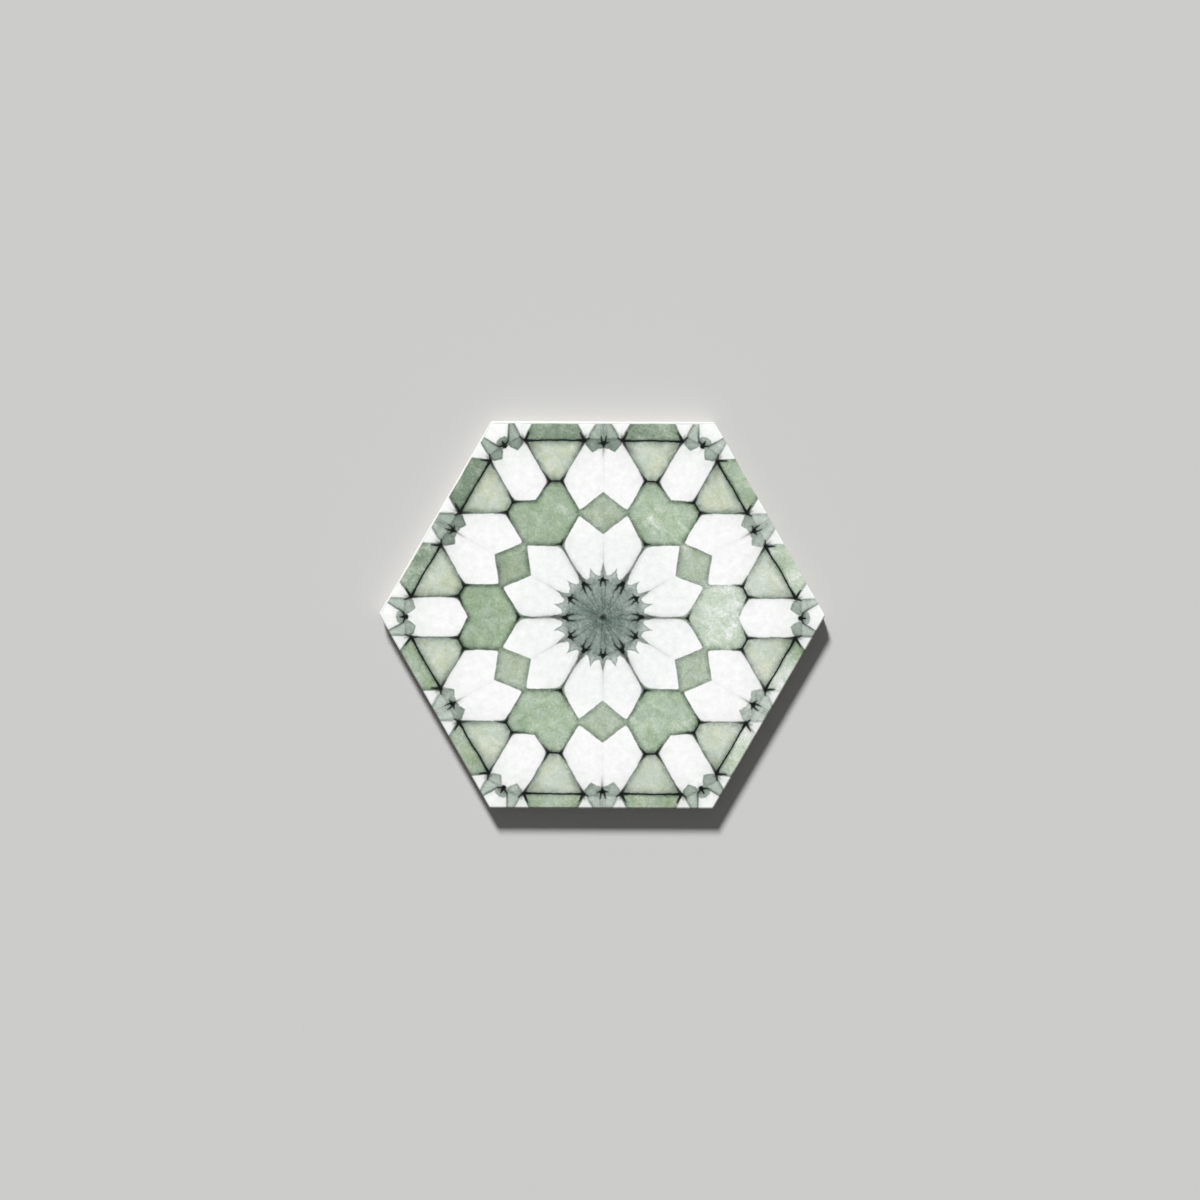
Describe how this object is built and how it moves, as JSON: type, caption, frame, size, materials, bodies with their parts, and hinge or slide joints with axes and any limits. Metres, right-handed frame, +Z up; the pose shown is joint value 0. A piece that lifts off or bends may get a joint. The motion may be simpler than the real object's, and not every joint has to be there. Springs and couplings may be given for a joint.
{
  "type": "hexagon floor tile",
  "caption": "Flat hexagonal porcelain floor tile with a patterned glazed face, rolled arris, drawn-in sides and a honeycomb keyed back.",
  "frame": {"origin": "middle of the back, on the plane the tile lies on", "axes": "+X from the middle to a corner, +Y to the middle of a side, +Z up out of the printed face"},
  "size_m": [0.2304, 0.2, 0.009],
  "materials": {
    "glazed_porcelain": "satin glaze with a printed pattern on the face, bare fired porcelain on the lower sides and the back"
  },
  "bodies": {
    "root": {"hexagon_tile": "glazed_porcelain"}
  },
  "joints": []
}
